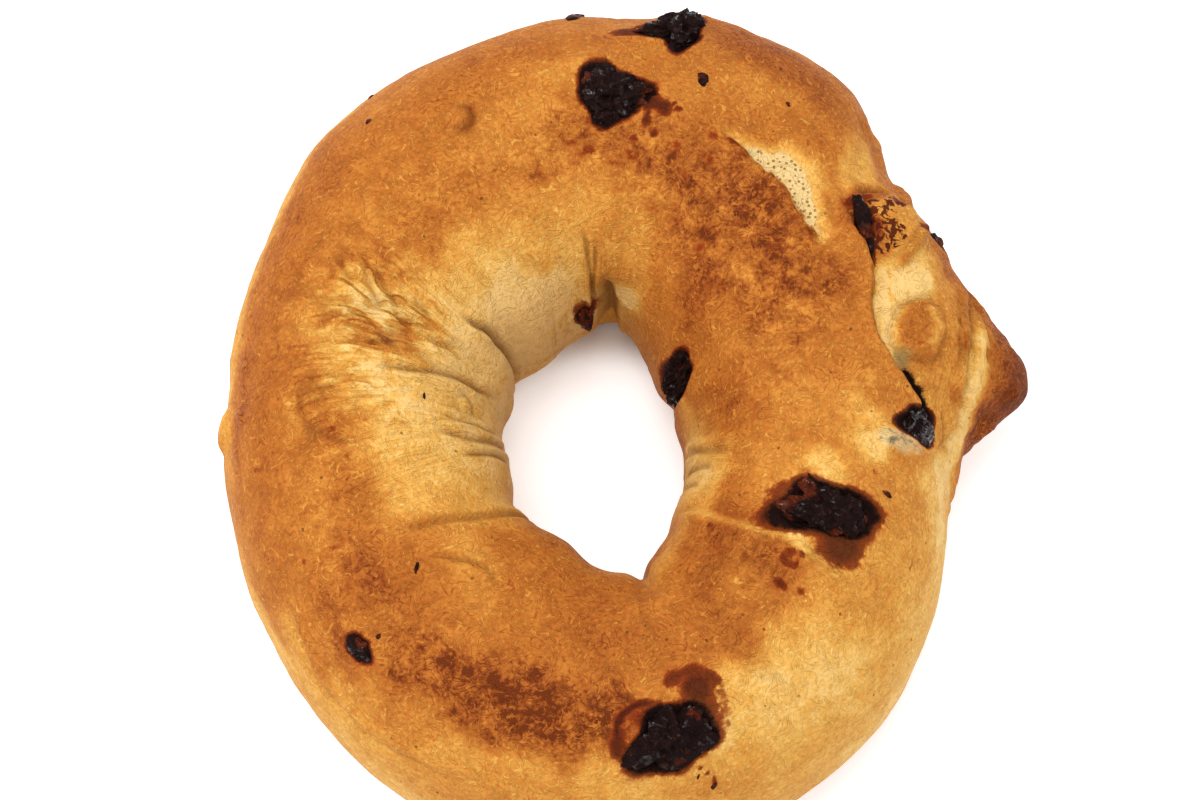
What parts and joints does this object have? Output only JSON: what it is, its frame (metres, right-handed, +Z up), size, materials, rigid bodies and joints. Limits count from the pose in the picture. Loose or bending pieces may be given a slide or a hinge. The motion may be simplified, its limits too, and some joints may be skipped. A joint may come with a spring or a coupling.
{
  "type": "blueberry bagel",
  "caption": "Hand-rolled blueberry bagel with a lapped seam and a blunt rope tail, lying flat; the baked crust holds separate crushed fruit pieces.",
  "frame": {"origin": "on the flat baked base, under the middle of the bagel's box", "axes": "+Z up out of the crown, -Y towards the front, +X towards the seam and the rope's tail"},
  "size_m": [0.108, 0.1182, 0.0379],
  "materials": {
    "crust": "baked wheat crust, satin, mottled golden to red-brown",
    "fruit": "baked blueberry skin and pulp, purple-black, partly glossy"
  },
  "bodies": {
    "root": {"bread_ring": "crust", "berry_top_rim": "fruit", "berry_crown_back": "fruit", "berry_in_fold": "fruit", "berry_outer_edge": "fruit", "berry_at_seam": "fruit", "berry_large": "fruit", "berry_front": "fruit", "berry_small_front": "fruit", "berry_hole_rim": "fruit", "berry_hole_crease": "fruit"}
  },
  "joints": []
}
